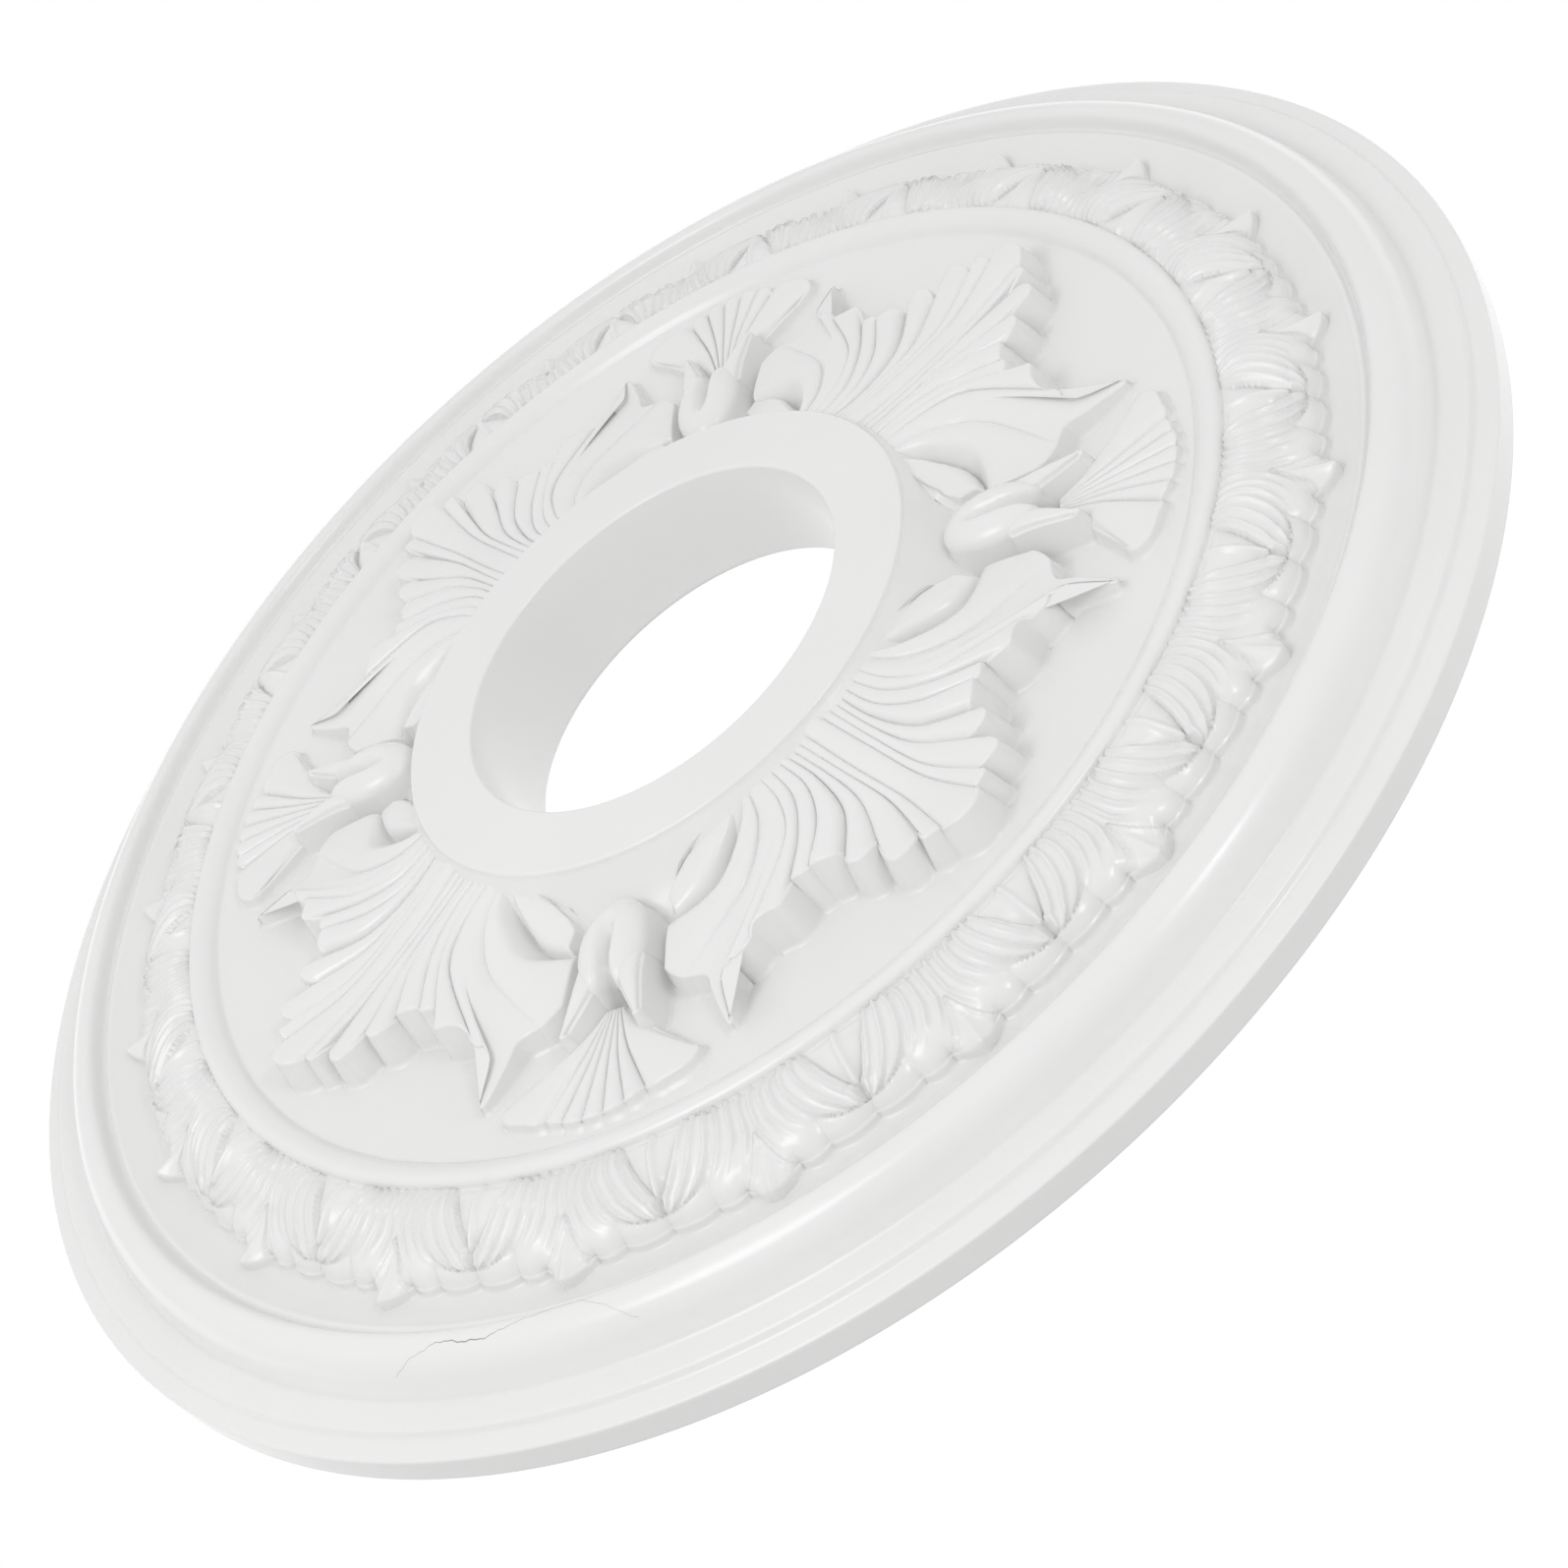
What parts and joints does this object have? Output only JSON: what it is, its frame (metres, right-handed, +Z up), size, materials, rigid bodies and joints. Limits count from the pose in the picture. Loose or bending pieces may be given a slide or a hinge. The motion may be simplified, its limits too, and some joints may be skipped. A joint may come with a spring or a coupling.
{
  "type": "ceiling rose",
  "caption": "Round moulded ceiling rose with a centre hole, a plain collar, acanthus leaves and palmettes, a bead, a leaf band and a sloping stepped rim.",
  "frame": {"origin": "centre of the hole, on the plane of the flat back that meets the ceiling", "axes": "+Z up into the ceiling, so the carved side faces down along -Z; the four large leaves point along +X, -X, +Y and -Y"},
  "size_m": [0.41, 0.41, 0.03],
  "materials": {
    "white_urethane": "smooth factory-primed white, semi-gloss"
  },
  "bodies": {
    "root": {"ceiling_rose": "white_urethane"}
  },
  "joints": []
}
